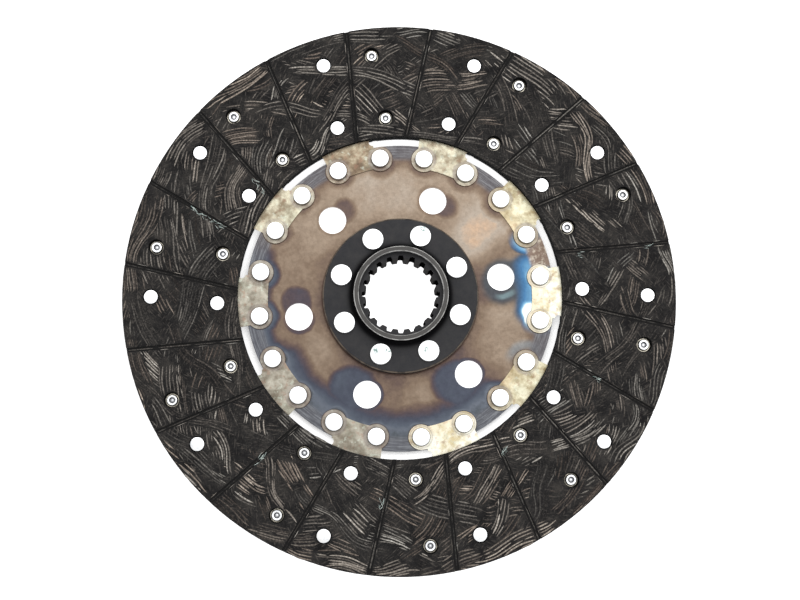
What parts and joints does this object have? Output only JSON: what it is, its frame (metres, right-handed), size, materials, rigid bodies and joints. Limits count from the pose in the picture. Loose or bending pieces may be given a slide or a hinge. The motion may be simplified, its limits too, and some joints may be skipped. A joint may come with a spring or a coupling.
{
  "type": "clutch disc",
  "caption": "Flat round clutch disc: a splined hub and riveted carrier disc inside two grooved friction rings on spring steel segments.",
  "frame": {"origin": "on the spline's axis, at the hub's rear end face, which the disc stands on", "axes": "+Z along the spline's axis, from the hub's rear end towards its long front boss"},
  "size_m": [0.31, 0.31, 0.025],
  "materials": {
    "friction_facing": "matt dark resin with wound yarn showing through",
    "carrier_steel": "heat-tinted, brown to blue-grey, satin",
    "segment_steel": "yellow passivated, mottled",
    "hub_steel": "black phosphate, machined rim",
    "rivet_steel": "bright zinc"
  },
  "bodies": {
    "root": {"carrier_disc": "carrier_steel", "cushion_segment_01": "segment_steel", "cushion_segment_02": "segment_steel", "cushion_segment_03": "segment_steel", "cushion_segment_04": "segment_steel", "cushion_segment_05": "segment_steel", "cushion_segment_06": "segment_steel", "cushion_segment_07": "segment_steel", "cushion_segment_08": "segment_steel", "cushion_segment_09": "segment_steel", "cushion_segment_10": "segment_steel", "facing_front": "friction_facing", "facing_rear": "friction_facing", "facing_rivets_front_inner": "rivet_steel", "facing_rivets_front_outer": "rivet_steel", "facing_rivets_rear_inner": "rivet_steel", "facing_rivets_rear_outer": "rivet_steel", "hub": "hub_steel", "hub_rivets": "rivet_steel", "segment_rivets": "rivet_steel"}
  },
  "joints": []
}
